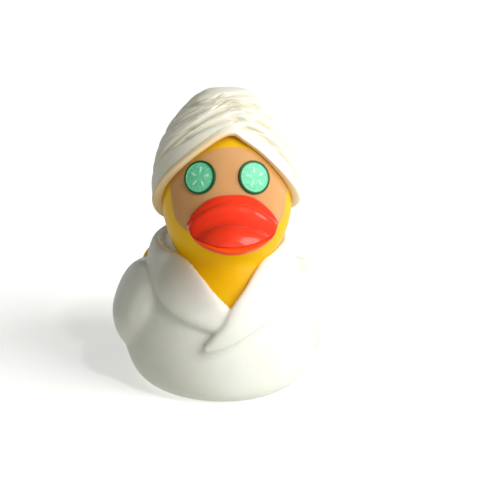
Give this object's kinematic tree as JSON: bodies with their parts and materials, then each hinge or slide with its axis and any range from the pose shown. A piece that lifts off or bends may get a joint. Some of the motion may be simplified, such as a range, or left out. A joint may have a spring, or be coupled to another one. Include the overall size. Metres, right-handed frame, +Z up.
{
  "type": "rubber duck",
  "caption": "Hollow bath duck in soft vinyl, moulded in one piece with a shawl-collared robe, a towel turban, a broad bill and cucumber slices over its eyes.",
  "frame": {"origin": "middle of the footprint, on the plane that the base stands on", "axes": "+Z up, the bill points to -Y, the duck's left wing is on +X"},
  "size_m": [0.0704, 0.0892, 0.0944],
  "materials": {
    "painted_vinyl": "satin"
  },
  "bodies": {
    "root": {"duck": "painted_vinyl"}
  },
  "joints": []
}
